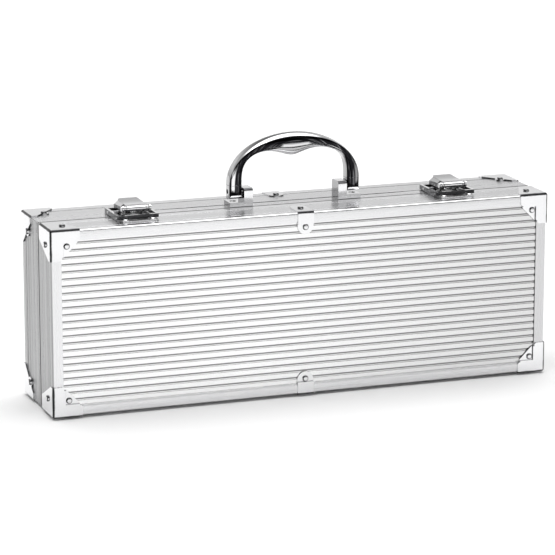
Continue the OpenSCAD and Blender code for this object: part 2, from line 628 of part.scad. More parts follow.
// ---------- what is drawn ----------
base_frame_top();
base_frame_bottom();
base_frame_side(-1);  // base_frame_left
base_frame_side(1);  // base_frame_right
back_panel_skin();
back_panel_board();
base_corner(-1, 1);  // base_corner_top_left
base_corner(1, 1);  // base_corner_top_right
base_corner(-1, -1);  // base_corner_bottom_left
base_corner(1, -1);  // base_corner_bottom_right
base_corner_rivets();
base_clip_top();
base_clip_bottom();
base_clip_rivets();
chip_tray();
handle_bracket(-1);  // handle_bracket_left
handle_bracket(1);  // handle_bracket_right
handle_bracket_rivets();
handle_pins();
latch_base(latch_list[0]);  // latch_base_left
latch_base(latch_list[1]);  // latch_base_right
latch_base_rivets();
latch_pivot_pins();
hinge_leaf(-hinge_x, false);  // hinge_base_leaf_left
hinge_leaf(hinge_x, false);  // hinge_base_leaf_right
hinge_pins();
hinge_base_rivets();
lid_frame_top();
lid_frame_bottom();
lid_frame_side(-1);  // lid_frame_left
lid_frame_side(1);  // lid_frame_right
front_panel_skin();
front_panel_board();
lid_corner(-1, 1);  // lid_corner_top_left
lid_corner(1, 1);  // lid_corner_top_right
lid_corner(-1, -1);  // lid_corner_bottom_left
lid_corner(1, -1);  // lid_corner_bottom_right
lid_corner_rivets();
lid_clip_top();
lid_clip_bottom();
lid_clip_rivets();
lid_foam();
latch_keeper(latch_list[0]);  // latch_keeper_left
latch_keeper(latch_list[1]);  // latch_keeper_right
latch_keeper_rivets();
hinge_leaf(-hinge_x, true);  // hinge_lid_leaf_left
hinge_leaf(hinge_x, true);  // hinge_lid_leaf_right
hinge_lid_rivets();
handle_shell();
handle_grip();
handle_end(-1);  // handle_end_left
handle_end(1);  // handle_end_right
latch_lever(latch_list[0]);  // latch_lever_left
latch_lever(latch_list[1]);  // latch_lever_right
hook_pins(latch_list[0]);  // hook_pins_left
hook_pins(latch_list[1]);  // hook_pins_right
latch_hook(latch_list[0]);  // latch_hook_left
latch_hook(latch_list[1]);  // latch_hook_right
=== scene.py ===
import math

import bpy
from mathutils import Matrix, Vector


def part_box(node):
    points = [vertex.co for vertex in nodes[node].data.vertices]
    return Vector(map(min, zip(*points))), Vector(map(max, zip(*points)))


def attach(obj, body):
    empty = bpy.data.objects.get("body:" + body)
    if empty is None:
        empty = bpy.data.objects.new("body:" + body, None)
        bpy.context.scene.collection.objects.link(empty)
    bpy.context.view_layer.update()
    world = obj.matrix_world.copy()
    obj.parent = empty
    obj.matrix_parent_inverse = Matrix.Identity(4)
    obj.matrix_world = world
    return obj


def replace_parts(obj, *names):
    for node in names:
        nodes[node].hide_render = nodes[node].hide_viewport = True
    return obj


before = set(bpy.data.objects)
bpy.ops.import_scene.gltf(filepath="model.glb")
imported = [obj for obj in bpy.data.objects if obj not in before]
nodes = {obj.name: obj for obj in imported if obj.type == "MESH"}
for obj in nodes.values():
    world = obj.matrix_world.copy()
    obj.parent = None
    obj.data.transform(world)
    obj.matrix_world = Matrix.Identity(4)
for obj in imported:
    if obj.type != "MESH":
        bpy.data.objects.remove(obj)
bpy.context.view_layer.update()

# ---------------------------------------------------------------- node helpers


class Tree:
    """A small builder for the nodes of one material."""

    def __init__(self, name):
        self.m = bpy.data.materials.new(name)
        self.m.use_nodes = True
        self.t = self.m.node_tree
        self.t.nodes.clear()
        self.out = self.t.nodes.new("ShaderNodeOutputMaterial")
        self.b = self.t.nodes.new("ShaderNodeBsdfPrincipled")
        self.link(self.b.outputs["BSDF"], self.out.inputs["Surface"])
        self.pos = self.t.nodes.new("ShaderNodeTexCoord").outputs["Object"]

    def link(self, a, b):
        self.t.links.new(a, b)

    def scaled(self, scale, shift=(0, 0, 0)):
        n = self.t.nodes.new("ShaderNodeMapping")
        n.inputs["Scale"].default_value = scale
        n.inputs["Location"].default_value = shift
        self.link(self.pos, n.inputs["Vector"])
        return n.outputs["Vector"]

    def noise(self, scale, detail=3.0, rough=0.5, shift=(0, 0, 0), distort=0.0):
        n = self.t.nodes.new("ShaderNodeTexNoise")
        n.inputs["Scale"].default_value = 1.0
        n.inputs["Detail"].default_value = detail
        n.inputs["Roughness"].default_value = rough
        n.inputs["Distortion"].default_value = distort
        if isinstance(scale, (int, float)):
            scale = (scale,) * 3
        self.link(self.scaled(scale, shift), n.inputs["Vector"])
        return n.outputs["Fac"]

    def map(self, value, a, b, lo, hi):
        n = self.t.nodes.new("ShaderNodeMapRange")
        n.inputs["From Min"].default_value = a
        n.inputs["From Max"].default_value = b
        n.inputs["To Min"].default_value = lo
        n.inputs["To Max"].default_value = hi
        self.link(value, n.inputs["Value"])
        return n.outputs["Result"]

    def math(self, op, a, b):
        n = self.t.nodes.new("ShaderNodeMath")
        n.operation = op
        for socket, v in ((n.inputs[0], a), (n.inputs[1], b)):
            if isinstance(v, (int, float)):
                socket.default_value = v
            else:
                self.link(v, socket)
        return n.outputs[0]

    def mix(self, fac, a, b):
        n = self.t.nodes.new("ShaderNodeMix")
        n.data_type = "RGBA"
        if isinstance(fac, (int, float)):
            n.inputs[0].default_value = fac
        else:
            self.link(fac, n.inputs[0])
        for socket, v in ((n.inputs[6], a), (n.inputs[7], b)):
            if isinstance(v, tuple):
                socket.default_value = v + (1.0,)
            else:
                self.link(v, socket)
        return n.outputs[2]

    def wear(self, lo=0.52, hi=0.6):
        g = self.t.nodes.new("ShaderNodeNewGeometry")
        return self.map(g.outputs["Pointiness"], lo, hi, 0.0, 1.0)

    def split(self, vector):
        n = self.t.nodes.new("ShaderNodeSeparateXYZ")
        self.link(vector, n.inputs[0])
        return [n.outputs[i] for i in range(3)]

    def xyz(self):
        return self.split(self.pos)

    def normal(self):
        """The surface's direction in the part's own axes."""
        return self.split(self.t.nodes.new("ShaderNodeTexCoord").outputs["Normal"])

    def both(self, a, b):
        return self.math("MULTIPLY", a, b)

    def near(self, value, at, inner, outer):
        """1 where the value is within inner of at, falling to 0 at outer."""
        return self.map(self.math("ABSOLUTE", self.math("SUBTRACT", value, at), 0.0), inner, outer, 1.0, 0.0)

    def bump(self, height, strength, distance, under=None):
        n = self.t.nodes.new("ShaderNodeBump")
        n.inputs["Strength"].default_value = strength
        n.inputs["Distance"].default_value = distance
        self.link(height, n.inputs["Height"])
        if under is not None:
            self.link(under, n.inputs["Normal"])
        return n.outputs["Normal"]

    def set(self, **values):
        for k, v in values.items():
            socket = self.b.inputs[k.replace("_", " ")]
            if isinstance(v, (int, float)):
                socket.default_value = v
            elif isinstance(v, tuple):
                socket.default_value = v + (1.0,)
            else:
                self.link(v, socket)


def shade(c, k):
    return tuple(min(1.0, x * k) for x in c)


def brushed(name, colour, grain, rough, spread=0.07, across=2600.0, along=22.0, depth=0.00006, strength=0.25, grooves=None, rail=False, painted_shade_rightwards=None, keeper=False):
    """Brushed, anodised metal. grain is the direction of the brush lines, 0 for X and 2 for Z."""
    t = Tree(name)
    fine = [across] * 3
    fine[grain] = along
    coarse = [across * 0.28] * 3
    coarse[grain] = along * 0.35
    lines = t.noise(tuple(fine), 3.0, 0.6)
    bands = t.noise(tuple(coarse), 2.0, 0.5, (3.1, 1.7, 5.3))
    clouds = t.noise(9.0, 3.0, 0.55, (1.0, 4.0, 2.0))
    both = t.math("ADD", t.math("MULTIPLY", lines, 0.6), t.math("MULTIPLY", bands, 0.4))
    base = t.mix(t.map(both, 0.3, 0.7, 0.0, 1.0), shade(colour, 0.90), shade(colour, 1.04))
    base = t.mix(t.map(clouds, 0.35, 0.7, 0.0, 0.35), base, shade(colour, 0.93))
    worn = t.wear()
    base = t.mix(t.math("MULTIPLY", worn, 0.5), base, shade(colour, 1.12))
    if keeper:
        # painted shade: the front face of the ramp under the lip of the hook is near-black, standing in for the shade
        # under the hook
        ny = t.normal()[1]
        base = t.mix(t.both(t.map(ny, -0.5, -0.25, 1.0, 0.0), t.near(t.xyz()[1], -0.0228, 0.0012, 0.0015)), base, shade(colour, 0.04))
    if painted_shade_rightwards:
        # painted shade: less bright towards the right end
        base = t.mix(t.map(t.xyz()[0], painted_shade_rightwards[0], painted_shade_rightwards[1], 0.0, painted_shade_rightwards[2]), base, shade(colour, 0.3))
    if grooves:
        # painted shade: a dark line under the upper lip of each groove, and a thinner, lighter one at its lower lip
        top, pitch, width = grooves
        sep = t.t.nodes.new("ShaderNodeSeparateXYZ")
        t.link(t.pos, sep.inputs[0])
        d = t.math("MODULO", t.math("ADD", t.math("SUBTRACT", top, sep.outputs["Z"]), 100 * pitch), pitch)
        upper_lip_shade = t.math("MULTIPLY", t.map(d, -0.00002, 0.0001, 0.0, 1.0), t.map(d, 0.0010, 0.0015, 1.0, 0.0))
        lower_lip_shade = t.math("MULTIPLY", t.map(d, width - 0.0006, width - 0.0003, 0.0, 1.0), t.map(d, width, width + 0.0003, 1.0, 0.0))
        base = t.mix(t.math("MULTIPLY", upper_lip_shade, 0.88), base, shade(colour, 0.16))
        base = t.mix(t.math("MULTIPLY", lower_lip_shade, 0.28), base, shade(colour, 0.35))
    x, y, z = t.xyz()
    if rail:
        # painted shade: the end walls darker, varied in bands along the extrusion; a near-black line in the seam and a
        # dark line in the deep notch
        nx, ny, nz = t.normal()
        bands = t.noise((0.5, 330.0, 2.0), 2.0, 0.55, (2.0, 6.0, 1.0))
        painted_wall_mask = t.map(t.math("ABSOLUTE", nx, 0.0), 0.5, 0.9, 0.0, 1.0)
        base = t.mix(painted_wall_mask, base, t.mix(t.map(bands, 0.32, 0.68, 0.0, 1.0), shade(colour, 0.25), shade(colour, 0.50)))
        # painted shade: near-black line in the seam between lid and base
        base = t.mix(t.both(t.near(y, -0.0055, 0.0008, 0.0015), 0.95), base, shade(colour, 0.04))
        # painted shade: dark line in the deep notch
        base = t.mix(t.both(t.near(y, 0.0290, 0.0004, 0.0008), 0.75), base, shade(colour, 0.10))
    r = t.math("ADD", t.map(both, 0.3, 0.7, rough - spread, rough + spread), t.math("MULTIPLY", worn, -0.06))
    t.set(Base_Color=base, Metallic=1.0, Roughness=r, Normal=t.bump(both, strength, depth))
    return t.m


def bend_mask(t, lo, hi):
    """1 on bends and rounded edges, whose normals lie between the part's axes, and 0 on its flat faces."""
    tc = t.t.nodes.new("ShaderNodeTexCoord")
    sep = t.t.nodes.new("ShaderNodeSeparateXYZ")
    t.link(tc.outputs["Normal"], sep.inputs[0])
    a = [t.math("ABSOLUTE", sep.outputs[i], 0.0) for i in range(3)]
    return t.map(t.math("MAXIMUM", t.math("MAXIMUM", a[0], a[1]), a[2]), lo, hi, 1.0, 0.0)


low_corner, high_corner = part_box("lid_corner_bottom_left")[0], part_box("base_corner_top_right")[1]
EDGE_X, EDGE_Y = high_corner.x, high_corner.y
MID_Z, EDGE_Z = (low_corner.z + high_corner.z) / 2, (high_corner.z - low_corner.z) / 2


def case_edge(t, lo, hi):
    """1 along the outer edges of the case, where two of its outer planes meet, and 0 away from them."""
    x, y, z = t.xyz()
    n = t.noise(160.0, 2.0, 0.5, (4.0, 4.0, 9.0))
    dx = t.math("SUBTRACT", EDGE_X, t.math("ABSOLUTE", x, 0.0))
    dy = t.math("SUBTRACT", EDGE_Y, t.math("ABSOLUTE", y, 0.0))
    dz = t.math("SUBTRACT", EDGE_Z, t.math("ABSOLUTE", t.math("SUBTRACT", z, MID_Z), 0.0))
    low, high = t.math("MINIMUM", dx, dy), t.math("MAXIMUM", dx, dy)
    second = t.math("MAXIMUM", low, t.math("MINIMUM", high, dz))
    return t.map(t.math("ADD", second, t.map(n, 0.3, 0.7, -0.0003, 0.0003)), lo, hi, 1.0, 0.0)


def plated(name, colour, rough, wave=0.00035, wave_scale=55.0, strength=0.35, scratch=0.03, bends=0.0, dark=(0.05, 0.05, 0.055),
           edge=None, painted_wall_reflection=0.0, painted_side_reflection=0.0, step=False):
    """Bright plating over pressed or cast metal: soft waves of the sheet, hairline scratches, worn edges."""
    t = Tree(name)
    wavy = t.noise(wave_scale, 2.0, 0.45, (7.0, 2.0, 3.0))
    hair = t.noise((900.0, 70.0, 1300.0), 2.0, 0.6, (2.0, 9.0, 4.0), 0.4)
    film = t.noise(30.0, 4.0, 0.6, (5.0, 6.0, 1.0))
    base = t.mix(t.map(film, 0.35, 0.7, 0.0, 1.0), colour, shade(colour, 0.93))
    worn = t.wear(0.54, 0.66)
    base = t.mix(t.math("MULTIPLY", worn, 0.4), base, shade(colour, 1.08))
    if bends:
        # painted reflection: bends and rounded edges darkened
        base = t.mix(t.math("MULTIPLY", bend_mask(t, 0.86, 0.985), bends), base, dark)
    if edge:
        # painted reflection: dark lines along the outer edges of the case
        base = t.mix(t.both(case_edge(t, *edge), 0.94), base, dark)
    if step:
        # painted shade: a dark line on the tab, along the foot of its step
        x, y, z = t.xyz()
        deep = t.map(t.math("SUBTRACT", EDGE_Y, t.math("ABSOLUTE", y, 0.0)), 0.0009, 0.0012, 0.0, 1.0)
        ux = t.math("SUBTRACT", EDGE_X, t.math("ABSOLUTE", x, 0.0))
        uz = t.math("SUBTRACT", EDGE_Z, t.math("ABSOLUTE", t.math("SUBTRACT", z, MID_Z), 0.0))
        inner = t.both(t.map(ux, 0.0085, 0.0090, 0.0, 1.0), t.map(uz, 0.0085, 0.0090, 0.0, 1.0))
        a = t.both(t.near(ux, 0.0097, 0.0006, 0.0010), t.map(uz, 0.0088, 0.0092, 0.0, 1.0))
        b = t.both(t.near(uz, 0.0096, 0.0003, 0.0006), t.map(ux, 0.0088, 0.0092, 0.0, 1.0))
        line = t.math("MAXIMUM", t.both(a, 0.95), t.both(b, 0.45))
        base = t.mix(t.both(line, t.both(deep, inner)), base, dark)
    if painted_side_reflection:
        # painted reflection: faces turned to the ends of the case darker
        nx, ny, nz = t.normal()
        base = t.mix(t.both(t.map(t.math("ABSOLUTE", nx, 0.0), 0.6, 0.9, 0.0, 1.0), painted_side_reflection), base, shade(colour, 0.3))
    if painted_wall_reflection:
        # painted reflection: upright walls dark, as if mirroring the dark side of the room, the barrel's top kept
        # bright, broken by small painted glints
        nx, ny, nz = t.normal()
        x, y, z = t.xyz()
        spots = t.noise((260.0, 420.0, 300.0), 2.0, 0.6, (1.0, 8.0, 2.0), 0.8)
        ry, rz = t.math("ADD", y, 0.0175), t.math("SUBTRACT", z, 0.1513)
        rr = t.math("SQRT", t.math("ADD", t.both(ry, ry), t.both(rz, rz)), 0.0)
        barrel = t.both(t.map(rr, 0.0023, 0.0027, 1.0, 0.0), t.map(t.math("ABSOLUTE", nx, 0.0), 0.3, 0.6, 1.0, 0.0))
        level = t.math("ADD", nz, t.both(barrel, 0.75))
        painted_wall_mask = t.map(level, 0.30, 0.60, 1.0, 0.0)
        deep = t.mix(t.map(t.math("ABSOLUTE", nx, 0.0), 0.5, 0.9, 0.0, 1.0), (0.015, 0.015, 0.017), (0.13, 0.13, 0.135))
        glint = t.both(t.map(spots, 0.58, 0.66, 0.0, 0.75), t.map(t.math("ABSOLUTE", ny, 0.0), 0.6, 0.95, 1.0, 0.15))
        base = t.mix(t.both(painted_wall_mask, painted_wall_reflection), base, t.mix(glint, deep, shade(colour, 0.8)))
    r = t.math("ADD", t.map(hair, 0.45, 0.75, rough, rough + scratch), t.map(film, 0.4, 0.75, 0.0, 0.05))
    n = t.bump(wavy, strength, wave)
    t.set(Base_Color=base, Metallic=1.0, Roughness=r, Normal=t.bump(hair, 0.05, 0.00003, n))
    return t.m


def handle_chrome(name, colour):
    """Chrome of the arch. Painted reflections run along it: a bright crest with a dark line behind it, a dark band on
    the front and on the back that widens down the legs, a pale inner side with a dim underside."""
    t = Tree(name)
    x, y, z = t.xyz()
    nx, ny, nz = t.normal()
    wavy = t.noise(34.0, 2.0, 0.45, (7.0, 2.0, 3.0))
    hair = t.noise((900.0, 70.0, 1300.0), 2.0, 0.6, (2.0, 9.0, 4.0), 0.4)
    film = t.noise(30.0, 4.0, 0.6, (5.0, 6.0, 1.0))
    ax = t.math("SUBTRACT", x, 0.0048)
    az = t.math("MAXIMUM", t.math("SUBTRACT", z, 0.1596), 0.0)
    ln = t.math("SQRT", t.math("ADD", t.both(ax, ax), t.both(az, az)), 0.0)
    c, s = t.math("DIVIDE", ax, ln), t.math("DIVIDE", az, ln)
    nr = t.math("ADD", t.both(nx, c), t.both(nz, s))
    ay = t.math("ABSOLUTE", ny, 0.0)
    # position across and along the arch, for painted reflections that run with it
    run = t.t.nodes.new("ShaderNodeCombineXYZ")
    t.link(t.both(ln, 900.0), run.inputs[0])
    t.link(t.both(s, 2.2), run.inputs[1])
    t.link(t.both(c, 1.5), run.inputs[2])
    streak = t.t.nodes.new("ShaderNodeTexNoise")
    streak.inputs["Scale"].default_value = 1.0
    streak.inputs["Detail"].default_value = 2.0
    t.link(run.outputs[0], streak.inputs["Vector"])
    streak = streak.outputs["Fac"]
    base = t.mix(t.map(film, 0.35, 0.7, 0.0, 1.0), colour, shade(colour, 0.95))
    # painted reflection: outer sides of the legs darker, and the inner side and underside dim
    leg = t.map(s, 0.15, 0.6, 1.0, 0.0)
    base = t.mix(t.both(t.map(nr, 0.6, 0.9, 0.0, 0.8), leg), base, shade(colour, 0.42))
    base = t.mix(t.map(nr, -0.10, 0.02, 0.9, 0.0), base, shade(colour, 0.50))
    base = t.mix(t.both(t.map(nr, -0.80, -0.12, 0.95, 0.0), t.map(leg, 0.0, 1.0, 1.0, 0.5)), base, shade(colour, 0.30))
    # painted reflection: a dark band on the front and back, broken by streaks
    lowest = t.map(s, 0.55, 0.95, -1.2, 0.03)
    band = t.both(t.map(t.math("SUBTRACT", nr, lowest), -0.05, 0.05, 0.0, 1.0), t.map(t.math("SUBTRACT", ay, t.map(s, 0.1, 0.8, 0.30, 0.68)), 0.0, 0.10, 0.0, 1.0))
    deep = t.mix(t.map(streak, 0.56, 0.72, 0.0, 0.8), (0.012, 0.012, 0.014), (0.26, 0.26, 0.27))
    base = t.mix(band, base, deep)
    # painted highlight: a bright streak down the front of the left leg, and a faint one on the right
    bright = t.both(t.both(t.near(ln, 0.0502, 0.0008, 0.0015), t.map(s, 0.14, 0.3, 1.0, 0.0)), t.map(ax, -0.01, 0.01, 1.0, 0.25))
    base = t.mix(t.both(bright, t.map(z, 0.1545, 0.157, 0.0, 1.0)), base, colour)
    # painted highlight: the rounded feet of the legs kept bright
    base = t.mix(t.both(t.map(nz, -0.35, -0.6, 0.0, 1.0), leg), base, shade(colour, 0.95))
    # painted reflection: a dark line just behind the crest
    crest = t.both(t.both(t.map(ny, -0.26, -0.12, 0.0, 1.0), t.map(ny, 0.34, 0.5, 1.0, 0.0)),
                   t.both(t.map(nr, 0.8, 0.88, 0.0, 1.0), t.map(s, 0.35, 0.75, 0.0, 1.0)))
    base = t.mix(t.both(crest, 0.92), base, (0.03, 0.03, 0.032))
    r = t.math("ADD", t.map(hair, 0.45, 0.75, 0.05, 0.07), t.map(film, 0.4, 0.75, 0.0, 0.04))
    n = t.bump(wavy, 0.3, 0.0004)
    t.set(Base_Color=base, Metallic=1.0, Roughness=r, Normal=t.bump(hair, 0.05, 0.00003, n))
    return t.m


def flocked(name, colour):
    t = Tree(name)
    fuzz = t.noise(5200.0, 2.0, 0.7)
    patch = t.noise(45.0, 4.0, 0.6, (4.0, 1.0, 8.0))
    base = t.mix(t.map(fuzz, 0.35, 0.7, 0.0, 1.0), shade(colour, 0.6), shade(colour, 1.9))
    base = t.mix(t.map(patch, 0.4, 0.7, 0.0, 0.5), base, shade(colour, 1.5))
    t.set(Base_Color=base, Roughness=t.map(patch, 0.3, 0.7, 0.88, 0.98), Normal=t.bump(fuzz, 0.7, 0.00025),
          Sheen_Weight=0.6, Sheen_Roughness=0.45, Specular_IOR_Level=0.15)
    return t.m


def foam_material(name, colour):
    t = Tree(name)
    v = t.t.nodes.new("ShaderNodeTexVoronoi")
    v.inputs["Scale"].default_value = 1300.0
    t.link(t.pos, v.inputs["Vector"])
    cells = v.outputs["Distance"]
    patch = t.noise(60.0, 3.0, 0.6)
    base = t.mix(t.map(cells, 0.1, 0.7, 0.0, 1.0), shade(colour, 0.35), shade(colour, 1.25))
    base = t.mix(t.map(patch, 0.35, 0.7, 0.0, 0.3), base, shade(colour, 1.5))
    t.set(Base_Color=base, Roughness=0.95, Normal=t.bump(cells, 0.8, 0.0004), Sheen_Weight=0.25,
          Sheen_Roughness=0.6, Specular_IOR_Level=0.1)
    return t.m


def board_material(name, colour):
    t = Tree(name)
    fibres = t.noise((420.0, 1500.0, 420.0), 5.0, 0.7, (1.0, 2.0, 3.0), 0.6)
    flecks = t.noise(260.0, 4.0, 0.7, (8.0, 5.0, 2.0))
    base = t.mix(t.map(fibres, 0.3, 0.7, 0.0, 1.0), shade(colour, 0.7), shade(colour, 1.2))
    base = t.mix(t.map(flecks, 0.5, 0.75, 0.0, 0.5), base, shade(colour, 0.5))
    t.set(Base_Color=base, Roughness=t.map(fibres, 0.3, 0.7, 0.75, 0.9), Normal=t.bump(fibres, 0.5, 0.00015))
    return t.m


ALU = (0.80, 0.80, 0.81)
M = {
    "rail_x": brushed("frame_aluminium_long", ALU, 0, 0.27, rail=True, painted_shade_rightwards=(-0.10, 0.19, 0.16)),
    "rail_z": brushed("frame_aluminium_short", ALU, 2, 0.30, rail=True, painted_shade_rightwards=(-0.19, 0.19, 0.30)),
    "skin": brushed("ribbed_aluminium_skin", (0.90, 0.90, 0.905), 0, 0.30, 0.05, 2200.0, 14.0, grooves=(0.1342, 0.0054, 0.0020),
                    painted_shade_rightwards=(-0.04, 0.19, 0.36)),
    "bracket": plated("bracket_chrome", (0.86, 0.86, 0.87), 0.10, bends=0.92, edge=(0.0011, 0.0017), step=True, dark=(0.02, 0.02, 0.022)),
    "post": plated("handle_bracket_chrome", (0.86, 0.86, 0.87), 0.10, bends=0.92, painted_side_reflection=0.85),
    "latch": plated("latch_chrome", (0.84, 0.84, 0.85), 0.13, 0.0003, 90.0, painted_wall_reflection=0.96),
    "keeper": brushed("keeper_steel", (0.80, 0.80, 0.81), 0, 0.30, 0.05, 1800.0, 60.0, keeper=True),
    "rivet": plated("rivet_steel", (0.80, 0.80, 0.81), 0.12, 0.00012, 220.0, 0.3, bends=0.95, dark=(0.02, 0.02, 0.022)),
    "rivet_bright": plated("rivet_steel_bright", (0.88, 0.88, 0.89), 0.10, 0.00012, 220.0, 0.3),
    "hinge": brushed("hinge_steel", (0.70, 0.70, 0.71), 0, 0.26, 0.06, 1800.0, 60.0),
    "handle": handle_chrome("handle_chrome", (0.89, 0.89, 0.90)),
    "tray": flocked("flocked_tray", (0.018, 0.018, 0.021)),
    "foam": foam_material("liner_foam", (0.07, 0.07, 0.078)),
    "board": board_material("fibre_board", (0.44, 0.33, 0.22)),
}


def material_of(n):
    if "frame_left" in n or "frame_right" in n:
        return M["rail_z"]
    if "_frame_" in n:
        return M["rail_x"]
    if n.endswith("_skin"):
        return M["skin"]
    if n.endswith("_board"):
        return M["board"]
    if n == "chip_tray":
        return M["tray"]
    if n == "lid_foam":
        return M["foam"]
    if n in ("handle_shell", "handle_grip") or n.startswith("handle_end"):
        return M["handle"]
    if n.startswith(("latch_keeper_rivets", "latch_pivot_pins", "latch_base_rivets")) or "hook_pins" in n:
        return M["rivet_bright"]
    if n.startswith("handle_bracket") and "rivets" not in n:
        return M["post"]
    if n in ("latch_keeper_left", "latch_keeper_right"):
        return M["keeper"]
    if "rivets" in n or "pins" in n:
        return M["rivet"]
    if n.startswith("hinge"):
        return M["hinge"]
    if n.startswith("latch"):
        return M["latch"]
    return M["bracket"]


# ---------------------------------------------------------------- CAD nodes: clean shading and small edge rounds


def shading_group(name, angle):
    """Merges the doubled vertices, shades smooth, and keeps edges over the angle sharp."""
    g = bpy.data.node_groups.new(name, "GeometryNodeTree")
    g.interface.new_socket("Geometry", in_out="INPUT", socket_type="NodeSocketGeometry")
    g.interface.new_socket("Geometry", in_out="OUTPUT", socket_type="NodeSocketGeometry")
    a, z = g.nodes.new("NodeGroupInput"), g.nodes.new("NodeGroupOutput")
    drop = g.nodes.new("GeometryNodeRemoveAttribute")
    drop.inputs["Name"].default_value = "custom_normal"
    weld = g.nodes.new("GeometryNodeMergeByDistance")
    weld.inputs["Distance"].default_value = 2e-6
    faces = g.nodes.new("GeometryNodeSetShadeSmooth")
    faces.domain = "FACE"
    edges = g.nodes.new("GeometryNodeSetShadeSmooth")
    edges.domain = "EDGE"
    edges.inputs["Shade Smooth"].default_value = False
    turn = g.nodes.new("GeometryNodeInputMeshEdgeAngle")
    over = g.nodes.new("FunctionNodeCompare")
    over.data_type, over.operation = "FLOAT", "GREATER_THAN"
    over.inputs["B"].default_value = math.radians(angle)
    link = g.links.new
    link(a.outputs[0], drop.inputs["Geometry"])
    link(drop.outputs["Geometry"], weld.inputs["Geometry"])
    link(weld.outputs["Geometry"], faces.inputs["Geometry"])
    link(faces.outputs["Geometry"], edges.inputs["Geometry"])
    link(turn.outputs["Unsigned Angle"], over.inputs["A"])
    link(over.outputs["Result"], edges.inputs["Selection"])
    link(edges.outputs["Geometry"], z.inputs[0])
    return g


SHADE = {a: shading_group("shading_%d" % a, a) for a in (28, 50)}


def bevel_of(n):
    """Width of the small edge round, in metres, and its segments."""
    if "corner_" in n and "rivets" not in n:
        return 0.00022, 2
    if "clip_" in n and "rivets" not in n:
        return 0.00018, 2
    if n.startswith("handle_bracket") and "rivets" not in n:
        return 0.0004, 3
    if n.startswith("handle_end"):
        return 0.0004, 3
    if n.startswith("latch_hook"):
        return 0.00032, 2
    if n.startswith("latch_lever"):
        return 0.0002, 2
    if n.startswith(("latch_keeper", "latch_base")) and "rivets" not in n:
        return 0.00016, 2
    if n.startswith("hinge") and "leaf" in n:
        return 0.0001, 1
    if "_frame_" in n:
        return 0.00012, 1
    if n == "chip_tray":
        return 0.0005, 3
    return None


for n, o in nodes.items():
    o.data.materials.clear()
    o.data.materials.append(material_of(n))
    mod = o.modifiers.new("shading", "NODES")
    mod.node_group = SHADE[50 if "rivets" in n or "pins" in n else 28]
    size = bevel_of(n)
    if size:
        b = o.modifiers.new("edge_round", "BEVEL")
        b.width, b.segments = size
        b.limit_method, b.angle_limit = "ANGLE", math.radians(40)
        b.use_clamp_overlap = True
        b.harden_normals = True
        b.miter_outer = "MITER_ARC"

# ---------------------------------------------------------------- mesh helper


def piece(name, verts, faces, material, smooth=True):
    me = bpy.data.meshes.new(name)
    me.from_pydata(verts, [], faces)
    me.validate()
    me.update()
    o = bpy.data.objects.new(name, me)
    bpy.context.scene.collection.objects.link(o)
    me.materials.append(material)
    if smooth:
        me.polygons.foreach_set("use_smooth", [True] * len(me.polygons))
    return o


# ---------------------------------------------------------------- handle: a fine sweep in place of the coarse one

ZT, HX, HB_Y = 0.1433, 4.8, 2.0
ARCH_A, ARCH_B, IN_A, IN_B, ARCH_Z = 53.0, 37.7, 42.4, 26.0, 16.3
LEG_D, GRIP_D, SPLIT = 12.0, 15.0, 98.0


def sup(a, b, n, f):
    return ((abs(math.cos(f)) / a) ** n + (abs(math.sin(f)) / b) ** n) ** (-1 / n)


def spow(v, e):
    return math.copysign(abs(v) ** e, v)


def section_point(f, q):
    ro = sup(ARCH_A, ARCH_B, 2, f)
    ri = sup(IN_A, IN_B, 3.4, f)
    x = ri * math.cos(f)
    if abs(x + 3) < 28:
        ri -= 5.8 * (0.5 + 0.5 * math.cos(math.pi * (x + 3) / 28)) * math.sin(f)
    rm, t = (ro + ri) / 2, (ro - ri) / 2
    depth = LEG_D + (GRIP_D - LEG_D) * math.sin(f) ** 2
    e = 0.55 + 0.31 * math.sin(f) ** 2
    r = rm + t * spow(math.cos(q), e)
    y = depth / 2 * spow(math.sin(q), e)
    return ((HX + r * math.cos(f)) / 1000, (HB_Y + y) / 1000, ZT + (ARCH_Z + r * math.sin(f)) / 1000)


def sweep(name, q0, q1, m, stations=128):
    verts, faces = [], []
    for i in range(stations + 1):
        f = math.pi * (1 - i / stations)
        for j in range(m):
            verts.append(section_point(f, math.radians(q0 + (q1 - q0) * j / (m - 1))))
    for i in range(stations):
        for j in range(m):
            k = (j + 1) % m
            a, b = i * m + j, i * m + k
            faces.append((a, a + m, b + m, b))
    faces.append(tuple(range(m)))
    faces.append(tuple(stations * m + j for j in reversed(range(m))))
    o = piece(name, verts, faces, M["handle"])
    g = o.modifiers.new("shading", "NODES")
    g.node_group = SHADE[28]
    b = o.modifiers.new("edge_round", "BEVEL")
    b.width, b.segments = 0.0002, 2
    b.limit_method, b.angle_limit = "ANGLE", math.radians(50)
    b.harden_normals = True
    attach(o, "handle")
    return o


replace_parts(sweep("handle_shell_fine", -SPLIT, SPLIT, 49), "handle_shell")
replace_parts(sweep("handle_grip_fine", SPLIT + 4, 360 - SPLIT - 4, 41), "handle_grip")

# ---------------------------------------------------------------- lid liner: a block of convoluted foam

lo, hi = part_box("lid_foam")


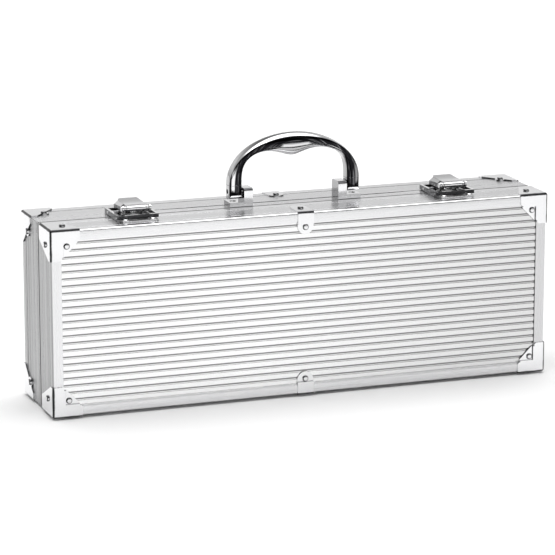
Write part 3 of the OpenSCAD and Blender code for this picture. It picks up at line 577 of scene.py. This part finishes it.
def foam_block():
    step = 0.0021
    nx, nz = round((hi.x - lo.x) / step), round((hi.z - lo.z) / step)
    edge = 0.006
    pitch_x, pitch_z = (hi.x - lo.x) / 14.5, (hi.z - lo.z) / 4.5
    verts, faces = [], []
    for i in range(nx + 1):
        for k in range(nz + 1):
            u, w = i / nx * (hi.x - lo.x), k / nz * (hi.z - lo.z)
            near = min(u, hi.x - lo.x - u, w, hi.z - lo.z - w)
            rise = 0.5 + 0.25 * (math.cos(2 * math.pi * u / pitch_x) + math.cos(2 * math.pi * w / pitch_z))
            roll = min(1.0, near / edge)
            drop = 0.0095 * (1 - rise) + 0.0035 * (1 - math.sqrt(max(0.0, 1 - (1 - roll) ** 2)))
            verts.append((lo.x + u, hi.y - drop, lo.z + w))
    top = len(verts)
    for i in range(nx + 1):
        for k in range(nz + 1):
            verts.append((lo.x + i / nx * (hi.x - lo.x), lo.y, lo.z + k / nz * (hi.z - lo.z)))
    at = lambda i, k: i * (nz + 1) + k
    for i in range(nx):
        for k in range(nz):
            faces.append((at(i, k), at(i, k + 1), at(i + 1, k + 1), at(i + 1, k)))
            faces.append((top + at(i, k), top + at(i + 1, k), top + at(i + 1, k + 1), top + at(i, k + 1)))
    for i in range(nx):
        faces.append((at(i, 0), at(i + 1, 0), top + at(i + 1, 0), top + at(i, 0)))
        faces.append((at(i + 1, nz), at(i, nz), top + at(i, nz), top + at(i + 1, nz)))
    for k in range(nz):
        faces.append((at(0, k + 1), at(0, k), top + at(0, k), top + at(0, k + 1)))
        faces.append((at(nx, k), at(nx, k + 1), top + at(nx, k + 1), top + at(nx, k)))
    return piece("lid_foam_convoluted", verts, faces, M["foam"])


foam = foam_block()
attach(foam, "lid")
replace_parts(foam, "lid_foam")

# ---------------------------------------------------------------- stage: floor, soft studio light, camera

floor = piece("floor", [(-30, -30, 0), (30, -30, 0), (30, 30, 0), (-30, 30, 0)], [(0, 1, 2, 3)], None, False)
t = Tree("floor_white")
t.set(Base_Color=t.mix(t.noise(0.6, 2.0), (0.93, 0.93, 0.93), (0.95, 0.95, 0.95)), Roughness=0.9, Specular_IOR_Level=0.1)
floor.data.materials.clear()
floor.data.materials.append(t.m)

scene = bpy.context.scene
world = bpy.data.worlds.new("studio")
scene.world = world
world.use_nodes = True
w = world.node_tree
w.nodes.clear()
w_out = w.nodes.new("ShaderNodeOutputWorld")
w_bg = w.nodes.new("ShaderNodeBackground")
w_sep = w.nodes.new("ShaderNodeSeparateXYZ")
w_pos = w.nodes.new("ShaderNodeTexCoord")
w_mix = w.nodes.new("ShaderNodeMix")
w_mix.data_type = "RGBA"
w_side = w.nodes.new("ShaderNodeMapRange")
w_side.interpolation_type = "SMOOTHSTEP"
w_side.inputs["From Min"].default_value = -0.35
w_side.inputs["From Max"].default_value = 0.55
w.links.new(w_pos.outputs["Generated"], w_sep.inputs[0])
w.links.new(w_sep.outputs["Y"], w_side.inputs["Value"])
w.links.new(w_side.outputs["Result"], w_mix.inputs[0])
SKY = {
    6: [(0.0, 0.10), (0.07, 0.14), (0.12, 0.26), (0.27, 0.26), (0.35, 0.03), (0.78, 0.03), (0.88, 1.0), (1.0, 1.0)],
    7: [(0.0, 0.22), (0.07, 0.26), (0.30, 0.26), (0.40, 0.18), (0.72, 0.16), (0.80, 0.4), (0.88, 1.0), (1.0, 1.0)],
}
for socket, stops in SKY.items():
    ramp = w.nodes.new("ShaderNodeValToRGB")
    w.links.new(w_sep.outputs["Z"], ramp.inputs["Fac"])
    w.links.new(ramp.outputs["Color"], w_mix.inputs[socket])
    for i, (p, v) in enumerate(stops):
        e = ramp.color_ramp.elements[i] if i < 2 else ramp.color_ramp.elements.new(p)
        e.position = p
        e.color = (v, v, v, 1)
w.links.new(w_mix.outputs[2], w_bg.inputs["Color"])
w.links.new(w_bg.outputs["Background"], w_out.inputs["Surface"])
w_bg.inputs["Strength"].default_value = 3.1

scene.view_settings.view_transform = "Standard"

AZ, EL, ROLL = math.radians(-20.16), math.radians(13.31), math.radians(0.01)
back = Vector((math.sin(AZ) * math.cos(EL), -math.cos(AZ) * math.cos(EL), math.sin(EL)))
right = Vector((math.cos(AZ), math.sin(AZ), 0))
up = back.cross(right)
r2 = right * math.cos(ROLL) + up * math.sin(ROLL)
u2 = -right * math.sin(ROLL) + up * math.cos(ROLL)
middle = Vector((0, 0, 0.0728))
cam_data = bpy.data.cameras.new("camera")
cam_data.sensor_width = 36
cam_data.lens = 36 * 2977 / 555
cam_data.clip_start, cam_data.clip_end = 0.05, 100
cam = bpy.data.objects.new("camera", cam_data)
scene.collection.objects.link(cam)
place = middle - r2 * 0.0078 + u2 * 0.0110 + back * 2.2895
cam.matrix_world = Matrix((
    (r2.x, u2.x, back.x, place.x),
    (r2.y, u2.y, back.y, place.y),
    (r2.z, u2.z, back.z, place.z),
    (0, 0, 0, 1)))
scene.camera = cam
